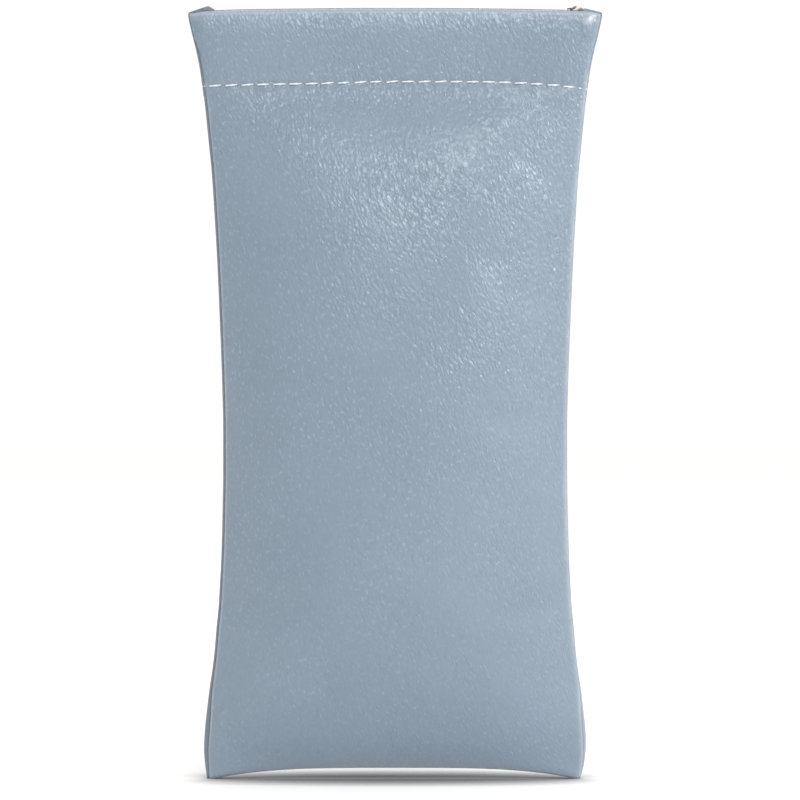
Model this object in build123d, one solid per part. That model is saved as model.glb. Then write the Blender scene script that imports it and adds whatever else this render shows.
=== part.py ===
from build123d import *
import math
import os

# Soft squeeze-top pouch for spectacles, standing upright. Millimetres.
# +Z up, X across the width, the front faces -Y. Origin at the bottom centre,
# on the plane that the two bottom corners stand on.

# overall
HEIGHT_BACK = 180.0      # back hem, the highest point
HEIGHT_FRONT = 179.3     # front hem, a little lower
LEATHER = 0.9            # outer panel thickness
LINING = 0.5             # lining thickness
SEAM_GAP = 0.15          # each panel's distance from the seam plane y = 0
PLY_GAP = 0.1            # clearance between panel and lining
ARCH_RISE = 3.0          # the bottom edge rises this much between its corners
ARCH_HALF = 38.0         # half span of that arch

# half width of the pouch against height
HALF_WIDTH = [
    (0.0, 43.9), (4.0, 44.4), (7.0, 44.6), (11.0, 44.4), (16.0, 43.9),
    (21.0, 43.3), (25.0, 42.7), (30.0, 42.1), (35.0, 41.7), (40.0, 41.2),
    (45.0, 40.9), (53.0, 40.5), (60.0, 40.3), (72.0, 40.1), (82.0, 40.1),
    (91.0, 40.3), (100.0, 40.6), (110.0, 41.0), (123.0, 41.6), (133.0, 42.2),
    (142.0, 42.8), (147.0, 43.3), (152.0, 43.8), (156.0, 44.2), (161.0, 44.8),
    (166.0, 45.5), (170.0, 46.3), (175.0, 47.5), (179.0, 48.1), (181.0, 48.1),
]
# how far the panel's inner face stands out from the seam plane at the middle,
# against height above the bottom edge
BULGE = [
    (0.0, 0.5), (1.0, 1.9), (2.0, 2.9), (3.0, 3.8), (5.0, 5.3), (8.0, 7.0),
    (12.0, 8.8), (18.0, 10.8), (25.0, 12.4), (35.0, 14.1), (48.0, 15.6),
    (62.0, 16.3), (75.0, 16.5), (90.0, 16.2), (105.0, 15.2), (120.0, 13.2),
    (132.0, 10.8), (143.0, 7.8), (152.0, 4.6), (157.0, 2.6), (160.0, 1.75),
    (163.0, 1.8), (166.0, 2.0), (172.0, 2.05), (176.0, 2.0), (181.0, 1.9),
]
# exponent of the crown across the width: low is round, high is flat topped
CROWN = [
    (0.0, 2.4), (120.0, 2.4), (132.0, 2.8), (143.0, 3.4), (152.0, 5.0),
    (157.0, 8.0), (160.0, 12.0), (181.0, 12.0),
]

# channel, frame and stitching
FOLD = 1.0               # thickness of the hem fold at the top
FLAP = 0.55              # the turned-in flap is skived to this thickness
FLAP_INSIDE = 0.22       # flap face nearest the seam plane
FLAP_HALF = 36.5         # half length of the flap
FLAP_BOTTOM = 159.6
STITCH_Z = 162.9         # channel stitch line at the middle
STITCH_SAG = 1.2         # the line droops by this much towards the sides
STITCH_PITCH = 3.77
STITCH_LENGTH = 2.75
STITCHES_EACH_SIDE = 11  # of the middle one, so 23 in the row
THREAD = 0.22            # thread radius
STRIP_LOW, STRIP_HIGH = 166.6, 176.6
STRIP = 0.35             # spring strip thickness
HINGE_X = 41.5           # hinge pin axis
PIN = 0.85               # pin radius
RUNNING = 0.06           # radial clearance of the knuckles on the pin
KNUCKLE_GAP = 0.1        # between knuckles along the pin
KNUCKLE_IN = PIN + RUNNING
KNUCKLE_OUT = KNUCKLE_IN + STRIP
SEAM_THREAD = 0.2
SEAM_PITCH = 4.0
SEAM_INSET = 1.3         # side seam stitching, inwards of the edge
LINING_LOW, LINING_HIGH = 6.5, 164.4

STATIONS = [0.0, 1.0, 2.0, 3.0, 4.5, 6.5, 9.0, 12.0, 16.0, 21.0, 27.0, 35.0,
            45.0, 60.0, 75.0, 92.0, 108.0, 122.0, 134.0, 144.0, 151.0, 156.0,
            160.0, 162.0, 164.4, 168.0, 172.0, 176.0]


def table(rows, v):
    """Smooth (cubic Hermite) reading of a table."""
    if v <= rows[0][0]:
        return rows[0][1]
    if v >= rows[-1][0]:
        return rows[-1][1]
    for i in range(len(rows) - 1):
        (a, fa), (b, fb) = rows[i], rows[i + 1]
        if a <= v <= b:
            t = (v - a) / (b - a)
            slope = (fb - fa) / (b - a)
            before = (fa - rows[i - 1][1]) / (a - rows[i - 1][0]) if i else slope
            after = (rows[i + 2][1] - fb) / (rows[i + 2][0] - b) if i + 2 < len(rows) else slope
            ma = 0.0 if before * slope <= 0 else 2 * before * slope / (before + slope)
            mb = 0.0 if after * slope <= 0 else 2 * after * slope / (after + slope)
            h = b - a
            return ((2 * t**3 - 3 * t**2 + 1) * fa + (t**3 - 2 * t**2 + t) * h * ma
                    + (-2 * t**3 + 3 * t**2) * fb + (t**3 - t**2) * h * mb)


def arch(x):
    """Height of the bottom edge at x."""
    return ARCH_RISE * max(0.0, 1 - (x / ARCH_HALF) ** 2)


def inner(x, z):
    """Distance of the panel's inner face from the plane y = 0."""
    u = min(1.0, abs(x) / table(HALF_WIDTH, z))
    return SEAM_GAP + table(BULGE, max(0.0, z - arch(x))) * (1 - u ** table(CROWN, z))


def crescent(side, z, half, near, far, count=11):
    """Closed section at height z, from `near` to `far` off the panel's inner face."""
    spots = [half * math.sin(math.pi * k / (2 * count)) for k in range(-count, count + 1)]
    a = [Vector(x, side * (inner(x, z) + far), z) for x in spots]
    b = [Vector(x, side * (inner(x, z) + near), z) for x in spots]
    return Wire([Spline(*a), Line(a[-1], b[-1]), Spline(*b[::-1]), Line(b[0], a[0])])


def shell(side, heights, halves, near, far):
    """Thin curved panel through sections at the given heights."""
    wires = [crescent(side, z, half, near, far) for z, half in zip(heights, halves)]
    return Solid(Solid.make_loft(wires, ruled=True).wrapped)


def block(x0, x1, y0, y1, z0, z1):
    return Pos((x0 + x1) / 2, (y0 + y1) / 2, (z0 + z1) / 2) * Box(
        abs(x1 - x0), abs(y1 - y0), abs(z1 - z0))


def capsule(a, b, radius):
    """Thread segment between two points, with rounded ends."""
    a, b = Vector(*a), Vector(*b)
    d = b - a
    long, r, k = d.length, radius, radius * math.sqrt(0.5)
    outline = make_face([
        ThreePointArc((0, -r), (k, -k), (r, 0)),
        Line((r, 0), (r, long)),
        ThreePointArc((r, long), (k, long + k), (0, long + r)),
        Line((0, long + r), (0, -r)),
    ])
    return Plane(origin=a, z_dir=d) * revolve(Plane.XZ * outline, Axis.Z, 360)


def tube(x, z0, z1, outer, inside):
    ring = Cylinder(outer, z1 - z0) - Cylinder(inside, z1 - z0 + 1)
    return Pos(x, 0, (z0 + z1) / 2) * ring


def under_arch():
    """Everything below the arched bottom edge."""
    top = ThreePointArc((-ARCH_HALF, 0), (0, ARCH_RISE), (ARCH_HALF, 0))
    low = Polyline((ARCH_HALF, 0), (ARCH_HALF, -5), (-ARCH_HALF, -5), (-ARCH_HALF, 0))
    face = make_face([top] + list(low.edges()))
    return extrude(Plane.XZ * face, amount=30, both=True)


def panel(side, top):
    heights = STATIONS + [top]
    body = shell(side, heights, [table(HALF_WIDTH, z) for z in heights], 0.0, LEATHER)
    body = body - under_arch()
    flap = block(-FLAP_HALF, FLAP_HALF, side * FLAP_INSIDE, side * (FLAP_INSIDE + FLAP),
                 FLAP_BOTTOM, top)
    fold = block(-FLAP_HALF, FLAP_HALF, side * FLAP_INSIDE, side * 2.5, top - FOLD, top)
    return body + (flap + fold)


def lining_half(z):
    """Half width of the lining: as far out as there is room for it."""
    half = table(HALF_WIDTH, z)
    x = half
    while x > 0 and inner(x, z) - PLY_GAP - LINING < 0.32:
        x -= 0.05
    return min(x, half - 0.8)


def lining(side):
    heights = [z for z in STATIONS if LINING_LOW <= z <= LINING_HIGH]
    return shell(side, heights, [lining_half(z) for z in heights],
                 -PLY_GAP - LINING, -PLY_GAP)


def strip(side, tongues):
    """Flat spring with a rolled knuckle on each tongue."""
    y0, y1 = side * KNUCKLE_IN, side * KNUCKLE_OUT
    end = HINGE_X - KNUCKLE_OUT - 0.15
    out = block(-end, end, y0, y1, STRIP_LOW, STRIP_HIGH)
    for z0, z1 in tongues:
        out = out + block(-HINGE_X, HINGE_X, y0, y1, z0, z1)
        for x in (-HINGE_X, HINGE_X):
            out = out + tube(x, z0, z1, KNUCKLE_OUT, KNUCKLE_IN)
    return out


def pin(x):
    length = STRIP_HIGH - STRIP_LOW + 0.2
    middle = (STRIP_HIGH + STRIP_LOW) / 2
    shaft = Pos(x, 0, middle) * Cylinder(PIN, length + 0.8)
    for z in (middle - length / 2 - 0.2, middle + length / 2 + 0.2):
        shaft = shaft + Pos(x, 0, z) * Cylinder(KNUCKLE_OUT - 0.1, 0.4)
    return shaft


def row(x):
    """Height of the channel stitch line at x."""
    return STITCH_Z - STITCH_SAG * (x / 42.0) ** 2


def outer_at_stitches(x):
    """Outermost reach of the panel's outside face within a thread's height of the row."""
    return max(inner(x, row(x) + d) for d in (-2.0, -1.0, 0.0, 1.0, 2.0)) + LEATHER


def channel_stitching(side, rise):
    """A row of thread bars lying on the panel's outside."""
    out = []
    reach = STITCH_LENGTH / 2 - THREAD
    for k in range(-STITCHES_EACH_SIDE, STITCHES_EACH_SIDE + 1):
        a, b = k * STITCH_PITCH - reach, k * STITCH_PITCH + reach
        ya, yb = outer_at_stitches(a), outer_at_stitches(b)
        slant = math.hypot(1.0, (yb - ya) / (b - a))
        lift = 0.0
        for i in range(13):
            t = i / 12 * 1.2 - 0.1
            lift = max(lift, outer_at_stitches(a + t * (b - a)) - (ya + t * (yb - ya)))
        off = lift + (THREAD + 0.04) * slant
        out.append(capsule((a, side * (ya + off), row(a) - rise),
                           (b, side * (yb + off), row(b) + rise), THREAD))
    return out


def side_stitching(sign):
    out = []
    z = 10.0
    while z < 157:
        a, b = z, z + 2.6
        out.append(capsule((sign * (table(HALF_WIDTH, a) - SEAM_INSET), 0, a),
                           (sign * (table(HALF_WIDTH, b) - SEAM_INSET), 0, b), SEAM_THREAD))
        z += SEAM_PITCH
    return out


def bottom_stitching():
    out = []
    for k in range(-9, 10):
        a, b = k * SEAM_PITCH - 1.3, k * SEAM_PITCH + 1.3
        out.append(capsule((a, 0, arch(a) + 1.6), (b, 0, arch(b) + 1.6), SEAM_THREAD))
    return out


def end_tacks(sign):
    x = sign * (HINGE_X + 2.9)
    return [capsule((x, -0.35, z), (x, 0.35, z), 0.18)
            for z in (164.0, 167.0, 170.0, 173.0, 176.0)]


HALF = (STRIP_HIGH - STRIP_LOW) / 3
LOW_TONGUE = (STRIP_LOW, STRIP_LOW + HALF - KNUCKLE_GAP / 2)
MID_TONGUE = (STRIP_LOW + HALF + KNUCKLE_GAP / 2, STRIP_HIGH - HALF - KNUCKLE_GAP / 2)
TOP_TONGUE = (STRIP_HIGH - HALF + KNUCKLE_GAP / 2, STRIP_HIGH)

nodes = {
    "front_panel": [panel(-1, HEIGHT_FRONT)],
    "back_panel": [panel(1, HEIGHT_BACK)],
    "front_lining": [lining(-1)],
    "back_lining": [lining(1)],
    "front_spring_strip": [strip(-1, [LOW_TONGUE, TOP_TONGUE])],
    "back_spring_strip": [strip(1, [MID_TONGUE])],
    "left_hinge_pin": [pin(-HINGE_X)],
    "right_hinge_pin": [pin(HINGE_X)],
    "front_channel_stitching": channel_stitching(-1, 0.06),
    "back_channel_stitching": channel_stitching(1, -0.06),
    "left_seam_stitching": side_stitching(-1),
    "right_seam_stitching": side_stitching(1),
    "bottom_seam_stitching": bottom_stitching(),
    "left_channel_end_tacks": end_tacks(-1),
    "right_channel_end_tacks": end_tacks(1),
}

os.makedirs("parts", exist_ok=True)
for name, pieces in nodes.items():
    solids = [s for p in pieces for s in p.solids()]
    shape = solids[0] if len(solids) == 1 else Compound(children=solids)
    shape.label = name
    export_step(shape, f"parts/{name}.step")
    print(name, len(solids), round(sum(s.volume for s in solids), 1))
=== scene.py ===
# A grey-blue leather pouch that closes with two flat springs, joined by a hinge pin at each end.
# It stands on the floor: width along X (left is -X), front towards -Y, height along Z.
# The two panels meet at the seam plane, y = 0. Shapes are in millimetres, scenery in metres.
import math

import bpy
import numpy as np
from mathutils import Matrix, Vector, noise


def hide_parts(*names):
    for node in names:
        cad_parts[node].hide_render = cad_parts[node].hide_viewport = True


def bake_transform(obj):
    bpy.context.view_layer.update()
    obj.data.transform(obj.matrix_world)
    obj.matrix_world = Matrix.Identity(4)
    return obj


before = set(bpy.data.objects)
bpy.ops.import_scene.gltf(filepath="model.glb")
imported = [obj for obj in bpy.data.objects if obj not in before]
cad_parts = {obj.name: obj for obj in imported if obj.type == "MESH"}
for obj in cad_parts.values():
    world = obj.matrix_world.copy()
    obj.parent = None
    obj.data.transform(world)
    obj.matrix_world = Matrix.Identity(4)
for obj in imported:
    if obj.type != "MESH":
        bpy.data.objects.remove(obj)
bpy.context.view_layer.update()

MM = 0.001

FRONT, BACK = -1, 1
LEFT, RIGHT = -1, 1
SIDE_NAMES = {FRONT: "front", BACK: "back"}
END_NAMES = {LEFT: "left", RIGHT: "right"}
HALVES = [(side, end) for side in SIDE_NAMES for end in END_NAMES]

# ---------------------------------------------------------------- shape tables

# (height, half width of the silhouette)
HALF_WIDTH = [
    (0.0, 43.9), (4.0, 44.4), (7.0, 44.6), (11.0, 44.4), (16.0, 43.9),
    (21.0, 43.3), (25.0, 42.7), (30.0, 42.1), (35.0, 41.7), (40.0, 41.2),
    (45.0, 40.9), (53.0, 40.5), (60.0, 40.3), (72.0, 40.1), (82.0, 40.1),
    (91.0, 40.3), (100.0, 40.6), (110.0, 41.0), (123.0, 41.6), (133.0, 42.2),
    (142.0, 42.8), (147.0, 43.3), (152.0, 43.8), (156.0, 44.2), (161.0, 44.8),
    (166.0, 45.5), (170.0, 46.3), (175.0, 47.5), (179.0, 48.2), (182.0, 48.2),
]
# (height above the bottom edge, swell of a panel at mid width)
BULGE = [
    (0.0, 0.35), (1.0, 1.9), (2.0, 2.9), (3.0, 3.8), (5.0, 5.3), (8.0, 7.0),
    (12.0, 8.8), (18.0, 10.8), (25.0, 12.4), (35.0, 14.1), (48.0, 15.6),
    (62.0, 16.3), (75.0, 16.5), (90.0, 16.2), (105.0, 15.2), (120.0, 13.2),
    (132.0, 10.8), (143.0, 7.8), (152.0, 4.6), (157.0, 2.9), (160.0, 2.15),
    (163.0, 1.9), (166.0, 2.0), (172.0, 2.05), (176.0, 2.0), (182.0, 1.9),
]
# (height, power of the swell's falloff across the width; a higher power is flatter)
CROWN = [
    (0.0, 2.4), (120.0, 2.4), (132.0, 2.8), (143.0, 3.4), (152.0, 5.0),
    (157.0, 8.0), (160.0, 12.0), (182.0, 12.0),
]
# (x, height) of the line sewn below the springs
ROW = [
    (-46, 161.80), (-41.9, 161.87), (-34, 162.01), (-26.6, 162.13), (-19.1, 162.25),
    (-11.6, 162.44), (-6, 162.66), (0, 162.72), (8, 162.72), (14.6, 162.71), (22.1, 162.66),
    (25.7, 162.57), (29.6, 162.40), (33.3, 162.20), (37.1, 161.96), (40.8, 161.59),
    (44.3, 161.24), (46.5, 161.0),
]
LEATHER = 0.9
PANEL_THICKNESS = 0.8 * LEATHER
LINING_THICKNESS = 0.36
PITCH, STITCH, ROW_X = 3.755, 2.78, -0.5     # stitch spacing, stitch length, middle stitch's x


def clamp(value):
    return np.clip(value, 0, 1)


def bell(offset, width):
    return np.exp(-(offset / width) ** 2)


def table(rows, v):
    """Monotone cubic reading of a table."""
    x = np.array([r[0] for r in rows], float)
    y = np.array([r[1] for r in rows], float)
    step = np.diff(x)
    slope = np.diff(y) / step
    m = np.empty_like(y)
    m[0], m[-1] = slope[0], slope[-1]
    before, after = slope[:-1], slope[1:]
    with np.errstate(divide="ignore", invalid="ignore"):
        m[1:-1] = np.where(before * after > 0, 2 * before * after / (before + after), 0.0)
    v = np.clip(np.asarray(v, float), x[0], x[-1])
    i = np.clip(np.searchsorted(x, v) - 1, 0, len(step) - 1)
    t = (v - x[i]) / step[i]
    return ((2 * t**3 - 3 * t**2 + 1) * y[i] + (t**3 - 2 * t**2 + t) * step[i] * m[i]
            + (-2 * t**3 + 3 * t**2) * y[i + 1] + (t**3 - t**2) * step[i] * m[i + 1])


HEM_HALF_WIDTH = table(HALF_WIDTH, 179.0)
FOOT_HALF_WIDTH = table(HALF_WIDTH, 1.0)


def arch(x):
    """Bottom edge: nearly level in the middle, dropping to the two corners."""
    s = clamp(np.abs(x) / 42.6)
    return 2.5 * (1 - s**3.4) * (s < 1)


def above_foot(x, z):
    return np.maximum(0.0, z - arch(x))


def swell(u, x, z):
    """How far a panel swells from the seam plane; u is |x| as a share of the half width."""
    return table(BULGE, above_foot(x, z)) * (1 - u ** table(CROWN, z))


def hem(x, side):
    """Top of the folded hem, with a little raised ear over each hinge on the back."""
    z = 179.35 + 0.55 * (1 - (x / 46.0) ** 2)
    if side == BACK:
        z = z + 0.55
        for centre, lift in ((-43.6, 1.15), (43.6, 0.75)):
            out = (x - centre) * np.sign(centre)
            z = z + lift * np.where(out > 0, clamp(1 - out / 4.4), clamp(1 + out / 1.7))
    return z


def row_z(x):
    """Height of the sewn line: level over the middle, lower towards the right."""
    return np.interp(x, [r[0] for r in ROW], [r[1] for r in ROW])


def seam_inset(z, x):
    """How far inside the silhouette the side seam shows from the front."""
    least = 0.06
    low = np.where(np.asarray(x) < 0, 0.48, 0.08) + 0.55 * bell(z - 11.0, 8.0)
    return least + (low - least) * clamp((172.0 - z) / 14.0)


def noise_field(x, y, z, size, seed):
    """Smooth noise at a wavelength in millimetres, for arrays."""
    out = np.empty(x.size)
    k = 1.0 / size
    for i, p in enumerate(zip(x.ravel() * k, y.ravel() * k, z.ravel() * k)):
        out[i] = noise.noise(Vector((p[0] + seed, p[1] - seed * 0.7, p[2] + seed * 1.3)))
    return out.reshape(x.shape)


# ---------------------------------------------------------------- mesh helpers

def mesh_object(name, verts, faces, material, uv=None, smooth=True, tone=None):
    """An object from millimetre points, its faces wound to look outwards."""
    points = np.asarray(verts, float)
    tri = np.array([(f[0], f[i], f[i + 1]) for f in faces for i in range(1, len(f) - 1)], int)
    a, b, c = (points[tri[:, i]] for i in range(3))
    if np.einsum("ij,ij->i", a, np.cross(b, c)).sum() < 0:
        faces = [f[::-1] for f in faces]
    mesh = bpy.data.meshes.new(name)
    mesh.from_pydata([tuple(p) for p in points * MM], [], [tuple(int(i) for i in f) for f in faces])
    mesh.validate()
    if uv is not None:
        layer = mesh.uv_layers.new(name="UVMap")
        loops = np.empty(len(mesh.loops), np.int64)
        mesh.loops.foreach_get("vertex_index", loops)
        layer.data.foreach_set("uv", np.asarray(uv, np.float32)[loops].ravel())
    if tone is not None:
        layer = mesh.attributes.new("tone", "FLOAT", "POINT")
        layer.data.foreach_set("value", np.asarray(tone, np.float32))
    mesh.polygons.foreach_set("use_smooth", [smooth] * len(mesh.polygons))
    mesh.materials.append(material)
    mesh.update()
    return link_object(name, mesh)


def link_object(name, data):
    obj = bpy.data.objects.new(name, data)
    bpy.context.scene.collection.objects.link(obj)
    return obj


def join(parts):
    """Merges (points, faces, uvs) parts into one such triple."""
    verts, faces, uvs = [], [], []
    for part_verts, part_faces, part_uvs in parts:
        start = len(verts)
        verts += part_verts
        uvs += part_uvs
        faces += [[start + i for i in face] for face in part_faces]
    return verts, faces, uvs


def grid_faces(rows, cols, flip, start=0):
    r, c = np.meshgrid(np.arange(rows - 1), np.arange(cols - 1), indexing="ij")
    a = start + r * cols + c
    f = np.stack([a, a + 1, a + 1 + cols, a + cols], -1).reshape(-1, 4)
    return f[:, ::-1] if flip else f


def thick_sheet(name, outer, outward, thickness, uv, material, flip, tone=None):
    """A sheet from an outside grid (rows, cols, 3), closed on all edges but its first column.
    `outward` roughly says which way the outside looks."""
    rows, cols = outer.shape[:2]
    inner = outer - normals(outer, outward) * thickness[..., None]
    n = rows * cols
    faces = [grid_faces(rows, cols, flip), grid_faces(rows, cols, not flip, n)]
    index = np.arange(n).reshape(rows, cols)
    for edge in (index[::-1, -1], index[0, ::-1], index[-1, :]):
        q = np.stack([edge[:-1], edge[1:], edge[1:] + n, edge[:-1] + n], -1)
        faces.append(q[:, ::-1] if flip else q)
    verts = np.concatenate([outer.reshape(-1, 3), inner.reshape(-1, 3)])
    uv = np.concatenate([uv.reshape(-1, 2)] * 2)
    if tone is not None:
        tone = np.concatenate([tone.ravel()] * 2)
    return mesh_object(name, verts, np.concatenate(faces), material, uv, tone=tone)


def normals(grid, outward):
    """Grid normals on the same side as `outward` (rows, cols, 3)."""
    n = np.cross(np.gradient(grid, axis=1), np.gradient(grid, axis=0))
    n /= np.linalg.norm(n, axis=-1, keepdims=True) + 1e-12
    return n * np.sign((n * outward).sum(-1, keepdims=True) + 1e-12)


def piece_name(side, part, end):
    return f"{SIDE_NAMES[side]}_{part}_{END_NAMES[end]}"


def bend(obj):
    """Bakes a piece's placement into its mesh."""
    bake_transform(obj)


def fit(obj, side, part):
    """Bakes a piece's placement into its mesh and hides the CAD part that it stands in for."""
    bend(obj)
    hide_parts(f"{SIDE_NAMES[side]}_{part}")


# ---------------------------------------------------------------- shader helpers

class ShaderTree:
    """Builds the node tree of a material or a world."""

    def __init__(self, owner, output_kind):
        owner.use_nodes = True
        self.tree = owner.node_tree
        self.tree.nodes.clear()
        self.output = self.new(output_kind)

    def new(self, kind, inputs=None, **properties):
        """A node with its properties, then its inputs by socket name or number."""
        node = self.tree.nodes.new("ShaderNode" + kind)
        for key, value in properties.items():
            setattr(node, key, value)
        self.set(node, inputs or {})
        return node

    def set(self, node, inputs):
        for key, value in inputs.items():
            if isinstance(value, bpy.types.NodeSocket):
                self.tree.links.new(value, node.inputs[key])
            else:
                node.inputs[key].default_value = value

    def maths(self, operation, a, b):
        return self.new("Math", {0: a, 1: b}, operation=operation).outputs[0]

    def times(self, a, b):
        return self.maths("MULTIPLY", a, b)


class MaterialTree(ShaderTree):
    """A material with a Principled surface; its UV map holds millimetres over 100."""

    def __init__(self, name):
        self.material = bpy.data.materials.new(name)
        super().__init__(self.material, "OutputMaterial")
        self.bsdf = self.new("BsdfPrincipled")
        self.set(self.output, {0: self.bsdf.outputs[0]})

    def noise(self, vector, scale, detail=2.0, roughness=0.5, distortion=0.0):
        return self.new("TexNoise", {"Vector": vector, "Scale": scale, "Detail": detail,
                                     "Roughness": roughness, "Distortion": distortion}).outputs[0]

    def remap(self, value, source, to=(0.0, 1.0)):
        return self.new("MapRange", {"Value": value, "From Min": source[0], "From Max": source[1],
                                     "To Min": to[0], "To Max": to[1]}).outputs[0]

    def mix(self, a, b, factor, mode="MIX"):
        return self.new("Mix", {0: factor, 6: a, 7: b}, data_type="RGBA", blend_type=mode).outputs[2]

    def uv_mm(self, turn=0.0, stretch=(1.0, 1.0)):
        """UV in millimetres, stretched and turned."""
        uv = self.new("TexCoord").outputs["UV"]
        return self.new("Mapping", {"Vector": uv, "Rotation": (0, 0, turn),
                                    "Scale": (100 * stretch[0], 100 * stretch[1], 1)}).outputs[0]

    def along(self, turn, stretch):
        """UV in millimetres turned first and stretched after, so texture runs along a slant."""
        uv = self.uv_mm(turn=turn)
        return self.new("Mapping", {"Vector": uv, "Scale": (*stretch, 1)}).outputs[0]

    def bump(self, height, strength, distance):
        return self.new("Bump", {"Height": height, "Strength": strength,
                                 "Distance": distance}).outputs[0]


def srgb(*channels):
    """Linear RGBA from 0-255 sRGB channels."""
    def linear(c):
        c /= 255
        return c / 12.92 if c <= 0.04045 else ((c + 0.055) / 1.055) ** 2.4
    return (*(linear(c) for c in channels), 1)


def grey(value):
    return (value, value, value, 1)


# ---------------------------------------------------------------- materials

BASE_DARK, BASE_LIGHT = srgb(127, 143, 158), srgb(132, 148, 163)
PAINTED_HIGHLIGHT_AND_WEAR = srgb(218, 221, 226)       # tone 1: painted highlight on rims, the hem's fold and the knuckle, partly edge wear
PAINTED_SHADE = srgb(92, 86, 92)          # tone -1: painted shade on the left wrap and the back hem
GRAIN_TURN = math.radians(-21)
PEBBLE_HEIGHT, CREASE_DEPTH = 0.8, 0.34      # shares of the grain's relief
GLINT_PAINTED_HIGHLIGHT, GLINT_SMOOTHER = 0.30, 0.05  # painted highlight in a glint's colour, and its lower roughness


def leather_material():
    """Small pebbles drawn out along a steep diagonal, with broken creases between them."""
    k = MaterialTree("grey_blue_leather")
    slant = k.along(turn=GRAIN_TURN, stretch=(1.0, 0.5))
    wander = k.new("TexNoise", {"Vector": slant, "Scale": 0.9}).outputs[1]
    bent = k.mix(slant, wander, factor=0.8, mode="ADD")
    cell = k.new("TexVoronoi", {"Vector": bent, "Scale": 1.12}, feature="DISTANCE_TO_EDGE")
    crease = k.remap(cell.outputs["Distance"], source=(0.0, 0.26), to=(1.0, 0.0))
    broken = k.remap(k.noise(slant, scale=0.7, detail=1.0), source=(0.40, 0.62), to=(0.1, 1.0))
    pebble = k.noise(slant, scale=1.45, detail=0.6)
    grain = k.maths("SUBTRACT", k.times(pebble, PEBBLE_HEIGHT),
                    k.times(k.times(crease, broken), CREASE_DEPTH))

    # glints: the crowns of scattered pebbles, smoother and with a painted highlight in their colour
    fine_slant = k.along(turn=GRAIN_TURN, stretch=(1.0, 0.42))
    glint = k.remap(k.noise(fine_slant, scale=2.0, detail=0.4), source=(0.60, 0.74))

    # the grain is worn smoother towards the foot, and in drifting patches
    patch = k.noise(k.uv_mm(), scale=0.055)
    up = k.new("SeparateXYZ", {"Vector": k.uv_mm()}).outputs[1]
    height = k.remap(up, source=(10.0, 110.0), to=(0.5, 1.0))
    amount = k.times(k.remap(patch, source=(0.36, 0.60), to=(0.5, 1.0)), height)

    # colour: a faint cloudy drift, with painted shade in the creases and a painted highlight on the
    # glints
    cloud = k.noise(k.uv_mm(), scale=0.03, detail=3.0, roughness=0.55)
    base = k.mix(BASE_DARK, BASE_LIGHT, factor=k.remap(cloud, source=(0.3, 0.7)))
    # painted shade in the creases
    shade = k.remap(k.times(crease, broken), source=(0.0, 1.0), to=(1.0, 0.955))
    # a painted highlight on the glints, weaker towards the foot and in the drifting patches
    painted_glint = k.times(k.times(glint, amount), GLINT_PAINTED_HIGHLIGHT)
    shade = k.times(shade, k.maths("ADD", 1.0, painted_glint))
    skin = k.mix(base, shade, factor=1.0, mode="MULTIPLY")
    tone = k.new("Attribute", attribute_name="tone").outputs["Fac"]
    # positive tone mixes in the painted highlight, partly edge wear; negative tone mixes in the
    # painted shade
    highlight_and_wear = k.mix(skin, PAINTED_HIGHLIGHT_AND_WEAR, factor=k.remap(tone, source=(0.0, 1.0)))
    shaded = k.mix(highlight_and_wear, PAINTED_SHADE, factor=k.remap(tone, source=(-1.0, 0.0), to=(1.0, 0.0)))
    rough = k.remap(patch, source=(0.35, 0.65), to=(0.268, 0.20))
    k.set(k.bsdf, {
        "Base Color": shaded,
        "Roughness": k.maths("SUBTRACT", rough, k.times(glint, GLINT_SMOOTHER)),
        "Specular IOR Level": 0.6,
        "Normal": k.bump(grain, strength=amount, distance=0.00030),
    })
    return k.material


def lining_material():
    k = MaterialTree("brushed_lining")
    fibre = k.noise(k.uv_mm(stretch=(1.0, 0.35)), scale=3.2, detail=4.0, roughness=0.7,
                    distortion=0.3)
    nap = k.noise(k.uv_mm(), scale=0.12, detail=3.0, roughness=0.6)
    base = k.mix(srgb(112, 121, 131), srgb(132, 141, 150), factor=k.remap(nap, source=(0.3, 0.7)))
    k.set(k.bsdf, {
        "Base Color": k.mix(base, srgb(165, 173, 181),
                            factor=k.remap(fibre, source=(0.3, 0.7), to=(0, 0.35))),
        "Roughness": 0.92,
        "Sheen Weight": 0.35,
        "Sheen Roughness": 0.5,
        "Normal": k.bump(fibre, strength=0.6, distance=0.0002),
    })
    return k.material


def thread_material(name, light, dark):
    """Diagonal bands, like plies twisted together."""
    k = MaterialTree(name)
    ply = k.new("TexWave", {"Vector": k.uv_mm(), "Scale": 0.42, "Distortion": 0.6, "Detail": 1.0},
                wave_type="BANDS", bands_direction="DIAGONAL").outputs[1]
    k.set(k.bsdf, {
        "Base Color": k.mix(dark, light, factor=ply),
        "Roughness": 0.5,
        "Sheen Weight": 0.3,
        "Normal": k.bump(ply, strength=0.5, distance=0.0001),
    })
    return k.material


def steel_material(name, shade, rough):
    """Steel with fine level streaks."""
    k = MaterialTree(name)
    place = k.new("TexCoord").outputs["Object"]
    squeezed = k.new("Mapping", {"Vector": place, "Scale": (120, 120, 9000)}).outputs[0]
    streak = k.noise(squeezed, scale=1.0, roughness=0.6)
    k.set(k.bsdf, {
        "Base Color": k.mix(grey(shade * 0.85), grey(shade), factor=streak),
        "Metallic": 1.0,
        "Roughness": k.remap(streak, source=(0.3, 0.7), to=(rough - 0.05, rough + 0.08)),
        "Normal": k.bump(streak, strength=0.15, distance=0.00005),
    })
    return k.material


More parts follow.
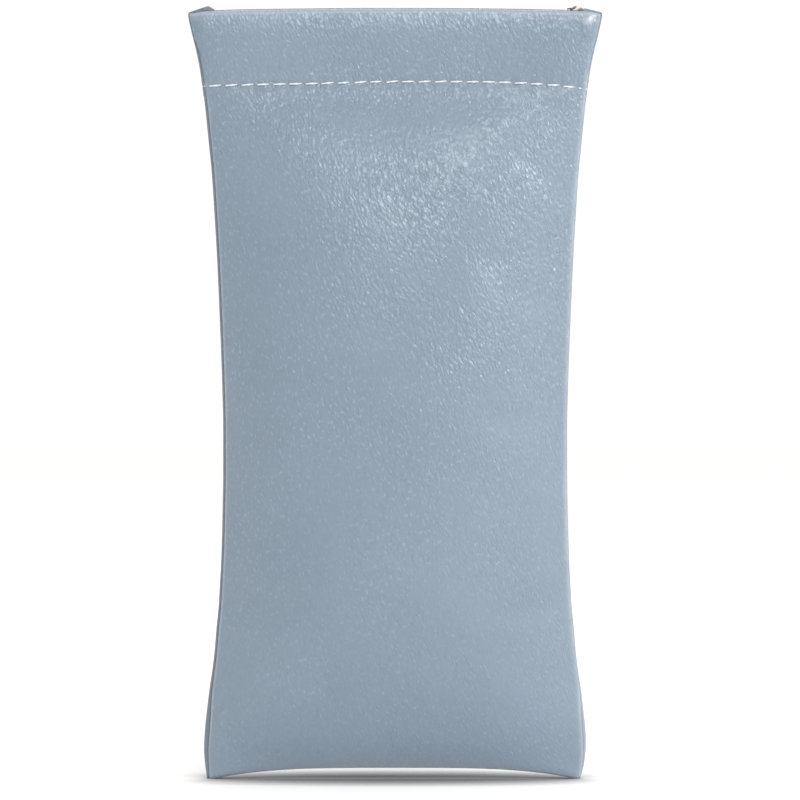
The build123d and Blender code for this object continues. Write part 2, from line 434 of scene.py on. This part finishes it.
LEATHER_MAT = leather_material()
LINING_MAT = lining_material()
PALE_THREAD = thread_material("pale_thread", light=srgb(238, 240, 242), dark=srgb(208, 212, 216))
SEAM_THREAD = thread_material("seam_thread", light=srgb(158, 172, 184), dark=srgb(122, 136, 150))
RAW_EDGE = thread_material("raw_edge_fibre", light=srgb(236, 228, 218), dark=srgb(188, 172, 156))
STEEL = steel_material("spring_steel", shade=0.62, rough=0.28)
PIN_STEEL = steel_material("pin_steel", shade=0.66, rough=0.24)
DARK_FIBRE = thread_material("cut_edge_fibre", light=srgb(134, 112, 104), dark=srgb(92, 76, 70))

# ---------------------------------------------------------------- relaxing the filled bag

SHELL_COLS, SHELL_ROWS = 57, 97
SHELL_SCALE = 10 * MM        # the shell is simulated at ten times its size
SHELL_FRAMES = 24
MOST_MOVE = 0.8              # limit of how far a face may move


def shell_mesh(X, Z, rest, sewn):
    """Front and back grids sharing their sewn points, and each grid point's vertex number."""
    verts, index = [], np.zeros((2, SHELL_ROWS, SHELL_COLS), int)
    for s, side in enumerate(SIDE_NAMES):
        for j in range(SHELL_ROWS):
            for i in range(SHELL_COLS):
                x, z = X[j, i], Z[j, i]
                if side == BACK and sewn[j, i]:
                    index[s, j, i] = index[0, j, i]
                    continue
                index[s, j, i] = len(verts)
                y = 0.0
                if not sewn[j, i]:
                    ripple = 0.0
                    if z <= 158:
                        ripple = 0.05 * noise.noise(Vector((x / 9, z / 14, 4.0 * side)))
                    y = side * (rest[s, j, i] + ripple) * SHELL_SCALE
                verts.append((x * SHELL_SCALE, y, z * SHELL_SCALE))
    faces = np.concatenate([
        grid_faces(SHELL_ROWS, SHELL_COLS, False),
        grid_faces(SHELL_ROWS, SHELL_COLS, True, SHELL_ROWS * SHELL_COLS),
    ])
    mesh = bpy.data.meshes.new("settling")
    mesh.from_pydata(verts, [], index.ravel()[faces].tolist())
    mesh.update()
    return mesh, index


def add_cloth(shell):
    """Slightly oversized cloth under soft pressure, without gravity."""
    modifier = shell.modifiers.new("Cloth", "CLOTH")
    cloth = modifier.settings
    cloth.quality = 6
    cloth.mass = 0.25
    cloth.tension_stiffness = cloth.compression_stiffness = 18
    cloth.shear_stiffness = 9
    cloth.bending_stiffness = 1.2
    cloth.tension_damping = cloth.compression_damping = 12
    cloth.air_damping = 2.0
    cloth.vertex_group_mass = "held"
    cloth.shrink_min = -0.008
    cloth.use_pressure = True
    cloth.uniform_pressure_force = 1.2
    cloth.effector_weights.gravity = 0.0
    modifier.collision_settings.use_collision = False
    modifier.point_cache.frame_start = 1
    modifier.point_cache.frame_end = SHELL_FRAMES


def settle():
    """Relaxes a coarse shell of front and back, with the hem band and the seams held.
    Returns the grid's widths (-1 to 1) and heights, and each face's move away from the seam."""
    us, zs = np.linspace(-1, 1, SHELL_COLS), np.linspace(0.6, 166.0, SHELL_ROWS)
    U, Z = np.meshgrid(us, zs)
    X = U * (table(HALF_WIDTH, Z) - 0.6)
    rest = np.stack([swell(np.abs(U), X, Z) + 0.2] * 2)
    sewn = np.zeros(Z.shape, bool)
    sewn[:, [0, -1]] = True
    sewn[0] = True

    mesh, index = shell_mesh(X, Z, rest, sewn)
    shell = link_object("settling", mesh)
    held = shell.vertex_groups.new(name="held")
    held.add(index[:, sewn | (Z > 160.5)].ravel().tolist(), 1.0, "REPLACE")
    add_cloth(shell)
    scene = bpy.context.scene
    for frame_number in range(1, SHELL_FRAMES + 1):
        scene.frame_set(frame_number)
    done = shell.evaluated_get(bpy.context.evaluated_depsgraph_get()).to_mesh()
    points = np.empty(len(done.vertices) * 3)
    done.vertices.foreach_get("co", points)
    y = points.reshape(-1, 3)[:, 1] / SHELL_SCALE
    scene.frame_set(1)
    bpy.data.objects.remove(shell)
    bpy.data.meshes.remove(mesh)

    moves = np.stack([side * y[index[s]] - rest[s] for s, side in enumerate(SIDE_NAMES)])
    moves[:, sewn] = 0
    # keep the folds and some of the general swell, and cap how far a point may go
    for _ in range(2):
        moves[:, :, 1:-1] = (moves[:, :, :-2] + 2 * moves[:, :, 1:-1] + moves[:, :, 2:]) / 4
        moves[:, 1:-1] = (moves[:, :-2] + 2 * moves[:, 1:-1] + moves[:, 2:]) / 4
    return us, zs, MOST_MOVE * np.tanh(0.75 * moves / MOST_MOVE)


SETTLED = settle()


def settled(side, U, Z):
    """The relaxed face's move at signed width U and height Z, by a smooth cubic reading."""
    us, zs, moves = SETTLED
    padded = np.pad(moves[0 if side == FRONT else 1], 2, mode="edge")

    def weights(v, grid):
        p = np.clip((v - grid[0]) / (grid[1] - grid[0]), 0, len(grid) - 1.001)
        i = p.astype(int)
        t = p - i
        return i + 1, ((1 - t) ** 3 / 6, (3 * t**3 - 6 * t**2 + 4) / 6,
                       (-3 * t**3 + 3 * t**2 + 3 * t + 1) / 6, t**3 / 6)

    i, across = weights(U, us)
    j, up = weights(Z, zs)
    total = 0
    for b in range(4):
        for a in range(4):
            total = total + padded[j + b, i + a] * across[a] * up[b]
    return total


# ---------------------------------------------------------------- panel surface

def outside(side, x, z):
    """Outside face of a panel at x, z: its distance from the seam plane, without the slack."""
    half = table(HALF_WIDTH, z)
    y = swell(clamp(np.abs(x) / half), x, z)
    # the edge rolls in to the seam at the sides and the foot
    if side == FRONT:
        radius = 0.8 + 1.0 * clamp((z - 158.0) / 12.0)
        edge = clamp((half - seam_inset(z, x) - np.abs(x)) / radius)
    else:
        edge = clamp((half - np.abs(x)) / 1.2)
    foot = clamp(above_foot(x, z) + 0.02)
    roll = np.minimum(edge, foot)
    y = y + 0.04 + (LEATHER + 0.14) * np.sqrt(clamp(1 - (1 - roll) ** 2))
    # the top leans in, and the front stands out over each hinge
    shoulder = 0.85 * (np.maximum(0.0, z - 173.0) / 6.5) ** 2
    knuckle = 0.5 * bell(np.abs(x) - 44.6, 1.5) * bell(z - 176.0, 2.4) * (side == FRONT)
    return y + (knuckle - np.minimum(shoulder, y - 0.6)) * clamp(edge * 1.2)


def skin_detail(side, X, Z):
    """What sewing, slack and relaxing add to a panel's outside face."""
    half = table(HALF_WIDTH, Z)
    U = clamp(np.abs(X) / half)
    # the leather dips along the stitch line and puckers between stitches
    below = Z - row_z(X)
    phase = np.cos(2 * math.pi * (X - ROW_X) / PITCH)
    dip = bell(below, 0.85) * (0.34 - 0.12 * phase)
    pucker = bell(below, 3.2) * 0.05 * phase
    sewing = (pucker - dip) * clamp((0.985 - U) / 0.04)
    # gentle slack, fading at the seams
    broad = noise_field(X, X * 0 + side * 3, Z * 0.6, size=16.0, seed=3.1 + side)
    small = noise_field(X, X * 0 + side * 5, Z * 0.7, size=7.0, seed=7.7 + side)
    slack = (0.14 * broad + 0.06 * small) * clamp((1 - U) * 9) * clamp((Z - arch(X)) / 6)
    fade = clamp((1 - U) * 10) * clamp((160.0 - Z) / 8)
    return sewing + slack + settled(side, X / half, Z) * fade


def columns(n):
    """Column places from 0 (middle) to 1 (side seam), closer together at the seam."""
    t = np.linspace(0, 1, n)
    return 0.3 * t + 0.7 * np.sin(t * math.pi / 2)


# ---------------------------------------------------------------- leather panels

NU, NV = 61, 250             # columns per half, rows up the outside
HEM_RADIUS, HEM_ROWS = 1.25, 12
FLAP_ROWS, FLAP_LOW = 29, 159.6
FLAP_TOP_ROW = NV + HEM_ROWS

# the back wraps round the side seam over these angles, then turns in
WRAP_ANGLES = np.radians([22.0, 42.0, 58.0, 70.0, 80.0])
WRAP_RADIUS = 1.15
WRAP = len(WRAP_ANGLES)
# (distance in from the edge, distance towards the back), a column each
BACK_TURN_IN = np.array([(1.15, -0.8), (1.5, -0.35), (2.4, 0.0), (3.6, 0.06)])
# (distance in from the edge, share of the edge's distance from the seam plane)
FRONT_TURN_IN = np.array([(0.12, 0.6), (0.45, 0.25), (1.3, 0.1), (2.6, 0.08)])


def panel_face(side, end):
    """Outside grid x, y, z (y away from the seam plane), and how far the columns up to the
    seam lie from the edge."""
    extra = len(FRONT_TURN_IN) if side == FRONT else WRAP + len(BACK_TURN_IN)
    u = np.pad(columns(NU), (0, extra), mode="edge")
    fold = hem(HEM_HALF_WIDTH * u * end, side) - HEM_RADIUS
    low = arch(FOOT_HALF_WIDTH * u * end)
    Z = low + (fold - low) * np.linspace(0, 1, NV)[:, None]
    half = table(HALF_WIDTH, Z)
    inset = seam_inset(Z, end) if side == FRONT else np.zeros_like(Z)
    X = (half - inset) * u * end
    Y = np.empty_like(X)
    Y[:, :NU] = outside(side, X[:, :NU], Z[:, :NU])
    if side == BACK:
        # round the side, over the seam allowance, to meet the front panel in a groove
        fade = clamp((176.0 - Z[:, NU:]) / 6.0) * clamp((Z[:, NU:] + 0.5) / 2.0)
        proud = 1.0 if end == LEFT else 0.32     # stands less proud of the front on the right
        inward = seam_inset(Z[:, NU:NU + WRAP], end) + 0.1
        X[:, NU:NU + WRAP] = end * (half[:, NU:NU + WRAP] - inward * (1 - np.cos(WRAP_ANGLES)))
        Y[:, NU:NU + WRAP] = -WRAP_RADIUS * proud * np.sin(WRAP_ANGLES) * fade[:, :WRAP]
        dx, dy = BACK_TURN_IN.T
        X[:, NU + WRAP:] = end * (half[:, NU + WRAP:] - dx - (inward[:, :1] - 0.95))
        Y[:, NU + WRAP:] = dy * proud * fade[:, WRAP:] + 0.02
    else:
        dx, share = FRONT_TURN_IN.T
        X[:, NU:] = end * (half[:, NU:] - inset[:, NU:] - dx)
        Y[:, NU:] = np.maximum(0.05, Y[:, NU - 1:NU] * share)
    from_edge = (half - inset - np.abs(X))[:, :NU]
    Y[:, :NU] += skin_detail(side, X[:, :NU], Z[:, :NU])
    if end == RIGHT:
        # the right side hangs a little fuller, and its foot is rounded off
        near = clamp(np.abs(X) / half) ** 5
        fuller = 0.34 * clamp((Z - 2.0) / 8.0)
        rounded = 0.55 * clamp((3.4 - Z) / 3.4) ** 2
        X = X + near * (fuller - rounded)
    return X, Y, Z, from_edge


def panel_hem(side, x, y, z):
    """Half turn over the top from the outside's last row, then the flap down the inside."""
    flap_y = np.full(len(x), 0.22)
    if side == BACK:
        flap_y[NU:] = 0.05
    centre, reach = (y + flap_y) / 2, (y - flap_y) / 2
    rise = HEM_RADIUS * (np.minimum(HEM_RADIUS, np.abs(reach) + 0.15) / HEM_RADIUS) ** 0.5
    angles = np.linspace(0, math.pi, HEM_ROWS + 1)[1:]
    roll = np.stack([np.stack([x, side * (centre + reach * math.cos(a)), z + rise * math.sin(a)], -1)
                     for a in angles])
    down = np.linspace(0, 1, FLAP_ROWS + 1)[1:, None]
    zf = z * (1 - down) + FLAP_LOW * down
    xf = x * table(HALF_WIDTH, zf) / HEM_HALF_WIDTH
    yf = np.tile(flap_y, (FLAP_ROWS, 1))
    yf[:, :NU] += 0.05 * noise_field(xf, xf * 0, zf, size=9.0, seed=1.3)[:, :NU]
    return np.concatenate([roll, np.stack([xf, side * yf, zf], -1)])


def panel_outward(side, end, shape):
    """Rough outward directions, used only to choose the normals' sign."""
    out = np.zeros(shape)
    out[:NV, :, 0] = 0.6 * end
    out[:NV, :, 1] = side
    if side == BACK:
        out[:NV, NU:, 1] = -1.0
        out[:NV, NU:NU + 3, 0] = 2.0 * end
        out[:NV, NU + WRAP:, 0] = -0.3 * end
    else:
        out[:NV, NU:, 1] = 0.3
    angles = np.linspace(0, math.pi, HEM_ROWS + 1)[1:, None]
    out[NV:FLAP_TOP_ROW, :, 1] = side * np.cos(angles)
    out[NV:FLAP_TOP_ROW, :, 2] = np.sin(angles) + 0.02
    out[FLAP_TOP_ROW:, :, 1] = -side
    return out


def panel_thickness(grid):
    """Skived thin on the flap and thinner near the side seam."""
    thickness = np.full(grid.shape[:2], PANEL_THICKNESS)
    thickness[NV:FLAP_TOP_ROW] = 0.5
    thickness[FLAP_TOP_ROW:] = 0.45
    thickness = np.minimum(thickness, 0.04 + 0.5 * np.abs(grid[..., 1]))
    thickness[:NV, NU - 3:] = 0.03
    return thickness


def front_tone(end, grid, from_edge):
    """Painted highlights along the seam edges, the foot, the hem's fold and the knuckle over the
    right hinge, partly edge wear on the right rim.
    """
    tone = np.zeros(grid.shape[:2])
    face = tone[:NV, :NU]
    Z = grid[:NV, :NU, 2]
    below_top = clamp((170.0 - Z) / 8.0)
    if end == LEFT:
        # a thin painted highlight just inside the left seam
        face[:] = 0.30 * bell(from_edge - 0.30, 0.28) * below_top
    else:
        # painted highlight along the right rim, partly edge wear, broken up along its length
        rim_breakup = 0.7 + 0.5 * noise_field(Z * 0, Z * 0, Z, size=5.0, seed=8.2)
        face[:] = 0.46 * clamp(1 - from_edge / 1.5) ** 1.5 * rim_breakup * (0.45 + 0.55 * below_top)
    # painted light along the foot
    face += 0.07 * bell(Z - Z[0], 3.0)
    # a painted highlight along the hem's fold
    tone[NV - 2:NV, :NU] += 0.08
    tone[NV:NV + 5, :NU] += 0.24
    if end == RIGHT:
        # a painted highlight on the knuckle over the hinge, longer along a slope up to the right
        dx, dz = grid[:NV + 6, :, 0] - 45.8, grid[:NV + 6, :, 2] - 177.5
        tone[:NV + 6] += (0.75 * bell(dx * 0.77 + dz * 0.63, 1.35)
                          * bell(dz * 0.77 - dx * 0.63, 0.55))
    return tone


def back_tone(end, grid, from_edge):
    """Painted shade on the left wrap and a painted highlight on the right, with painted shade on the
    back hem's inner turn and the flap's top.
    """
    tone = np.zeros(grid.shape[:2])
    # painted shade on the left wrap, a painted highlight on the right wrap
    wrap = -0.42 if end == LEFT else 0.26
    tone[:NV, NU:] = wrap
    tone[:NV, :NU] = wrap * clamp((0.5 - from_edge) / 0.5)
    # painted shade on the back hem's inner turn, none over the right ear, and less on the flap's top
    ear = clamp((np.abs(grid[NV - 1, :, 0]) - 41.0) / 1.5) * (end == RIGHT)
    tone[NV + 5:FLAP_TOP_ROW] = -0.5 + 0.5 * ear
    tone[FLAP_TOP_ROW:FLAP_TOP_ROW + 3] = -0.2
    return tone


def panel_uv(side, end, grid):
    """Millimetres over 100 along the leather, the back set beside the front."""
    steps_up = np.linalg.norm(np.diff(grid[:, 0], axis=0), axis=1)
    up = np.concatenate([[0], np.cumsum(steps_up)])
    steps_across = np.linalg.norm(np.diff(grid[..., :2], axis=1), axis=2)
    across = np.pad(np.cumsum(steps_across, axis=1), ((0, 0), (1, 0)))
    shift = 0 if side == FRONT else 1.3
    return np.stack([end * across / 100 + 0.6 + shift,
                     np.tile(up[:, None], (1, grid.shape[1])) / 100], -1)


def panel_half(side, end):
    """Half of a panel: outside face, rolled hem and turned-in flap, as one thick sheet."""
    X, Y, Z, from_edge = panel_face(side, end)
    grid = np.concatenate([np.stack([X, side * Y, Z], -1), panel_hem(side, X[-1], Y[-1], Z[-1])])
    tone = (front_tone if side == FRONT else back_tone)(end, grid, from_edge)
    return thick_sheet(piece_name(side, "leather", end), grid,
                       panel_outward(side, end, grid.shape), panel_thickness(grid),
                       panel_uv(side, end, grid), LEATHER_MAT, flip=side * end < 0, tone=tone)


def lining_half(side, end):
    U, Z = np.meshgrid(columns(31), np.linspace(3.2, 164.3, 110))
    X = (table(HALF_WIDTH, Z) - 1.6) * U * end
    leather = outside(side, X, Z) + skin_detail(side, X, Z)
    Y = leather - PANEL_THICKNESS - 0.12 - LINING_THICKNESS
    # clear of the flap where the two overlap, and never past the seam plane
    near_flap = clamp((Z - 157.5) / 2.0)
    Y = np.maximum(np.maximum(Y, 0.10), near_flap * 0.72)
    outward = np.zeros((*Z.shape, 3))
    outward[..., 1] = -side
    return thick_sheet(piece_name(side, "lining", end), np.stack([X, side * Y, Z], -1), outward,
                       np.full(Z.shape, LINING_THICKNESS), np.stack([X / 100 + 3, Z / 100], -1),
                       LINING_MAT, flip=side * end > 0)


for side, end in HALVES:
    fit(panel_half(side, end), side, "panel")
    fit(lining_half(side, end), side, "lining")

# ---------------------------------------------------------------- spring strips

PIN_X = 41.5
STRIP_END = 40.0
STRIP_LOW, STRIP_HIGH = 166.6, 176.6
STRIP_FACES = (0.91, 1.26)     # near and far face from the seam plane, and the knuckle's radii
KNUCKLE_CLEARANCE = 0.05       # each side of the cuts between knuckles
RING_STEPS = 40


def plate(side, x0, x1, z0, z1, cuts):
    y0, y1 = (side * y for y in STRIP_FACES)
    verts = []
    for x in np.linspace(x0, x1, cuts + 1):
        verts += [(x, y0, z0), (x, y1, z0), (x, y1, z1), (x, y0, z1)]
    faces = []
    for a in range(0, 4 * cuts, 4):
        for j in range(4):
            faces.append((a + j, a + (j + 1) % 4, a + 4 + (j + 1) % 4, a + 4 + j))
    faces.append((3, 2, 1, 0))
    faces.append((4 * cuts, 4 * cuts + 1, 4 * cuts + 2, 4 * cuts + 3))
    return verts, faces, []


def knuckle_ring(x, z0, z1):
    verts, faces = [], []
    for k in range(RING_STEPS):
        angle = 2 * math.pi * k / RING_STEPS
        verts += [(x + r * math.cos(angle), r * math.sin(angle), z)
                  for r in STRIP_FACES for z in (z0, z1)]
        a, b = 4 * k, 4 * ((k + 1) % RING_STEPS)
        faces += [(a, b, b + 1, a + 1), (a + 2, a + 3, b + 3, b + 2),
                  (a, a + 2, b + 2, b), (a + 1, b + 1, b + 3, a + 3)]
    return verts, faces, []


def strip_half(side, end):
    """Half of a flat spring; the front has the outer two knuckles, the back the middle one."""
    third = (STRIP_HIGH - STRIP_LOW) / 3
    lower_cut, upper_cut = STRIP_LOW + third, STRIP_HIGH - third
    if side == FRONT:
        bands = [(STRIP_LOW, lower_cut - KNUCKLE_CLEARANCE),
                 (upper_cut + KNUCKLE_CLEARANCE, STRIP_HIGH)]
    else:
        bands = [(lower_cut + KNUCKLE_CLEARANCE, upper_cut - KNUCKLE_CLEARANCE)]
    parts = [plate(side, 0, end * STRIP_END, STRIP_LOW, STRIP_HIGH, cuts=40)]
    for z0, z1 in bands:
        parts.append(plate(side, end * STRIP_END, end * PIN_X, z0, z1, cuts=2))
        parts.append(knuckle_ring(end * PIN_X, z0, z1))
    verts, faces, _ = join(parts)
    return mesh_object(piece_name(side, "spring", end), verts, faces, STEEL, smooth=False)


for side, end in HALVES:
    fit(strip_half(side, end), side, "spring_strip")

# ---------------------------------------------------------------- thread

STITCH_RINGS, STITCH_SPOKES = 13, 10
LAST_STITCH = 11               # stitches count outwards from 0 at the middle
SEAM_END_X = {LEFT: -44.95, RIGHT: 45.25}


def stitch(start, finish, out, radius):
    """A plump two-ply stitch from start to finish, arched along `out`."""
    start, finish, out = (np.array(p, float) for p in (start, finish, out))
    along = finish - start
    length = np.linalg.norm(along)
    along /= length
    across = np.cross(along, out)
    across /= np.linalg.norm(across)
    up = np.cross(across, along)
    verts, faces, uvs = [], [], []
    for i in range(STITCH_RINGS):
        t = i / (STITCH_RINGS - 1)
        arc = math.sin(math.pi * t)
        centre = start + along * length * t + up * (0.16 * arc - 0.14 * (1 - arc) ** 2)
        ring_radius = radius * (0.62 + 0.38 * arc ** 0.5)
        for j in range(STITCH_SPOKES):
            spoke = 2 * math.pi * j / STITCH_SPOKES
            twisted = spoke + 1.6 * t * math.pi
            lobes = 1 + 0.13 * math.cos(2 * spoke)
            spread = across * math.cos(twisted) * 1.1 + up * math.sin(twisted) * 0.85
            verts.append(centre + spread * ring_radius * lobes)
            uvs.append((t * length / 100, j / STITCH_SPOKES * 0.012))
    for a in range(0, (STITCH_RINGS - 1) * STITCH_SPOKES, STITCH_SPOKES):
        for j in range(STITCH_SPOKES):
            p, q = a + j, a + (j + 1) % STITCH_SPOKES
            faces.append((p, q, q + STITCH_SPOKES, p + STITCH_SPOKES))
    # pointed ends
    tip = len(verts)
    verts += [start - along * 0.05, finish + along * 0.05]
    uvs += [(0, 0), (length / 100, 0)]
    last = tip - STITCH_SPOKES
    for j in range(STITCH_SPOKES):
        following = (j + 1) % STITCH_SPOKES
        faces.append((tip, following, j))
        faces.append((tip + 1, last + j, last + following))
    return verts, faces, uvs


def on_face(side, x, sunk, lift=0.0):
    """A point on the sewn line at x, sunk into the leather and lifted along Z."""
    z = float(row_z(x))
    y = float(outside(side, np.array([x]), np.array([z]))[0])
    return x, side * (y - sunk), z + lift


def channel_row(side, end):
    """One half of the line sewn below the springs; the left half has the middle stitch."""
    rng = np.random.default_rng(11 + side)
    out = (0, side, 0)
    parts = []
    numbers = range(-LAST_STITCH, 1) if end == LEFT else range(1, LAST_STITCH + 1)
    for k in numbers:
        x = k * PITCH + ROW_X
        x0 = x - STITCH / 2 + rng.normal() * 0.08
        x1 = x + STITCH / 2 + rng.normal() * 0.08
        slant = side * (0.10 + rng.normal() * 0.05)
        parts.append(stitch(on_face(side, x0, sunk=0.16, lift=slant),
                            on_face(side, x1, sunk=0.16, lift=-slant), out, radius=0.2))
    # one more stitch runs into the side seam
    x0 = end * LAST_STITCH * PITCH + ROW_X + end * (PITCH - STITCH / 2)
    ends = [on_face(side, x0, sunk=0.10), on_face(side, SEAM_END_X[end], sunk=-0.22)]
    if end == LEFT:
        ends.reverse()
    parts.append(stitch(*ends, out, radius=0.19))
    verts, faces, uvs = join(parts)
    return mesh_object(piece_name(side, "stitches", end), verts, faces, PALE_THREAD, uvs)


for side, end in HALVES:
    fit(channel_row(side, end), side, "channel_stitching")


def fray(name, strands, material):
    """Loose fibres (start, finish, radius) at the right-hand end of the back panel's hem."""
    verts, faces, uvs = join(stitch(a, b, (0, -1, 0), radius) for a, b, radius in strands)
    bend(mesh_object(name, verts, faces, material, uvs))


fray("hem_fray_pale", [((42.4, -0.55, 179.5), (43.7, -0.35, 180.7), 0.26),
                       ((43.1, -0.35, 180.4), (44.4, -0.35, 179.9), 0.16)], RAW_EDGE)
fray("hem_fray_dark", [((41.2, -0.30, 179.7), (42.6, -0.15, 180.6), 0.26),
                       ((40.4, -0.2, 180.0), (41.7, -0.2, 180.1), 0.18)], DARK_FIBRE)

# ---------------------------------------------------------------- CAD pieces that keep their shape

KEPT = {
    PIN_STEEL: ("left_hinge_pin", "right_hinge_pin"),
    SEAM_THREAD: ("left_channel_end_tacks", "right_channel_end_tacks", "left_seam_stitching",
                  "right_seam_stitching", "bottom_seam_stitching"),
}
for material, nodes in KEPT.items():
    for node in nodes:
        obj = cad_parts[node]
        # a piece may come without a slot
        if not obj.material_slots:
            obj.data.materials.append(material)
        for slot in obj.material_slots:
            slot.link = "OBJECT"
            slot.material = material

# ---------------------------------------------------------------- floor (metres)

FLOOR_HALF = 6.0
FLOOR_SEEN = 1.06              # the floor's brightness to the camera
CONTACT_REACH = 0.014          # how far the shade round the foot spreads
CONTACT_CONTRAST = 1.4
CONTACT_TINT = (1, 0.985, 0.97, 1)


def floor_material():
    """Matt and pale; the camera alone sees it brighter, with a shade where the pouch touches."""
    k = MaterialTree("pale_floor")
    k.set(k.bsdf, {"Base Color": grey(0.95), "Roughness": 0.9, "Specular IOR Level": 0.0})
    near = k.new("AmbientOcclusion", {"Distance": CONTACT_REACH}, samples=8)
    shade = k.times(k.maths("POWER", near.outputs["AO"], CONTACT_CONTRAST), FLOOR_SEEN)
    seen = k.new("BsdfDiffuse", {"Color": grey(FLOOR_SEEN)})
    k.set(seen, {"Color": k.mix(CONTACT_TINT, shade, factor=1.0, mode="MULTIPLY")})
    camera_ray = k.new("LightPath").outputs["Is Camera Ray"]
    pick = k.new("MixShader", {0: camera_ray, 1: k.bsdf.outputs[0], 2: seen.outputs[0]})
    k.set(k.output, {0: pick.outputs[0]})
    return k.material


floor_mesh = bpy.data.meshes.new("floor")
floor_mesh.from_pydata([(x * FLOOR_HALF, y * FLOOR_HALF, 0)
                        for x, y in ((-1, -1), (1, -1), (1, 1), (-1, 1))], [], [(0, 1, 2, 3)])
floor = link_object("floor", floor_mesh)
floor_mesh.materials.append(floor_material())

# ---------------------------------------------------------------- world, lights, camera

WORLD_EVEN = 0.0               # brightness everywhere
WORLD_SEEN = 1.05              # brightness to the camera
# (direction, sharpness, brightness) of each soft lobe of light added to it
WORLD_LOBES = [
    ((1.0, -0.35, 0.15), 1.0, 0.60),     # right
    ((1.0, -0.35, 0.15), 4.0, 1.12),     # right, narrower
    ((0.0, -0.3, 1.0), 1.0, 0.45),       # overhead
    ((-1.0, -0.4, 0.1), 1.0, 0.82),      # left
    ((0.2, 1.0, 0.2), 1.0, 0.8),         # behind
]


def build_world():
    """A soft studio: plain white to the camera, lobes of light to everything else."""
    world = bpy.data.worlds.new("studio")
    bpy.context.scene.world = world
    k = ShaderTree(world, "OutputWorld")
    direction = k.new("TexCoord").outputs["Generated"]
    total = k.new("Value").outputs[0]
    total.default_value = WORLD_EVEN
    for aim, sharpness, brightness in WORLD_LOBES:
        facing = k.new("VectorMath", {0: direction, 1: tuple(Vector(aim).normalized())},
                       operation="DOT_PRODUCT").outputs["Value"]
        lobe = k.maths("POWER", k.maths("MAXIMUM", facing, 0.0), sharpness)
        total = k.maths("ADD", total, k.times(lobe, brightness))
    camera_ray = k.new("LightPath").outputs["Is Camera Ray"]
    pick = k.new("Mix", {0: camera_ray, 2: total, 3: WORLD_SEEN}, data_type="FLOAT")
    background = k.new("Background", {"Color": grey(1), "Strength": pick.outputs[0]})
    k.set(k.output, {"Surface": background.outputs[0]})


def area(name, place, target, size, power):
    light = bpy.data.lights.new(name, "AREA")
    light.shape = "RECTANGLE"
    light.size, light.size_y = size
    light.energy = power
    obj = link_object(name, light)
    obj.location = place
    aim = Vector(target) - Vector(place)
    obj.rotation_euler = aim.to_track_quat("-Z", "Y").to_euler()


build_world()
area("key", place=(0.15, -0.80, 0.67), target=(0.0, 0, 0.12), size=(0.26, 0.24), power=1.6)
area("side", place=(0.95, -0.62, 0.55), target=(0.02, 0, 0.11), size=(0.20, 0.20), power=2.0)
area("back", place=(0.1, 0.9, 0.8), target=(0, 0, 0.08), size=(0.9, 0.9), power=2.5)

CAMERA_DISTANCE = 0.80
VIEW_WIDTH = 0.1872            # width seen at the seam plane
SENSOR_WIDTH = 36.0

camera = bpy.data.cameras.new("camera")
camera.sensor_fit = "HORIZONTAL"
camera.sensor_width = SENSOR_WIDTH
camera.lens = SENSOR_WIDTH * CAMERA_DISTANCE / VIEW_WIDTH
camera.clip_start, camera.clip_end = 0.01, 50
camera_object = link_object("camera", camera)
camera_object.location = (0.0013, -CAMERA_DISTANCE, 0.0885)
camera_object.rotation_euler = (math.radians(90), 0, 0)

scene = bpy.context.scene
scene.camera = camera_object
scene.view_settings.view_transform = "Standard"
scene.view_settings.look = "None"
scene.view_settings.exposure = 0.0
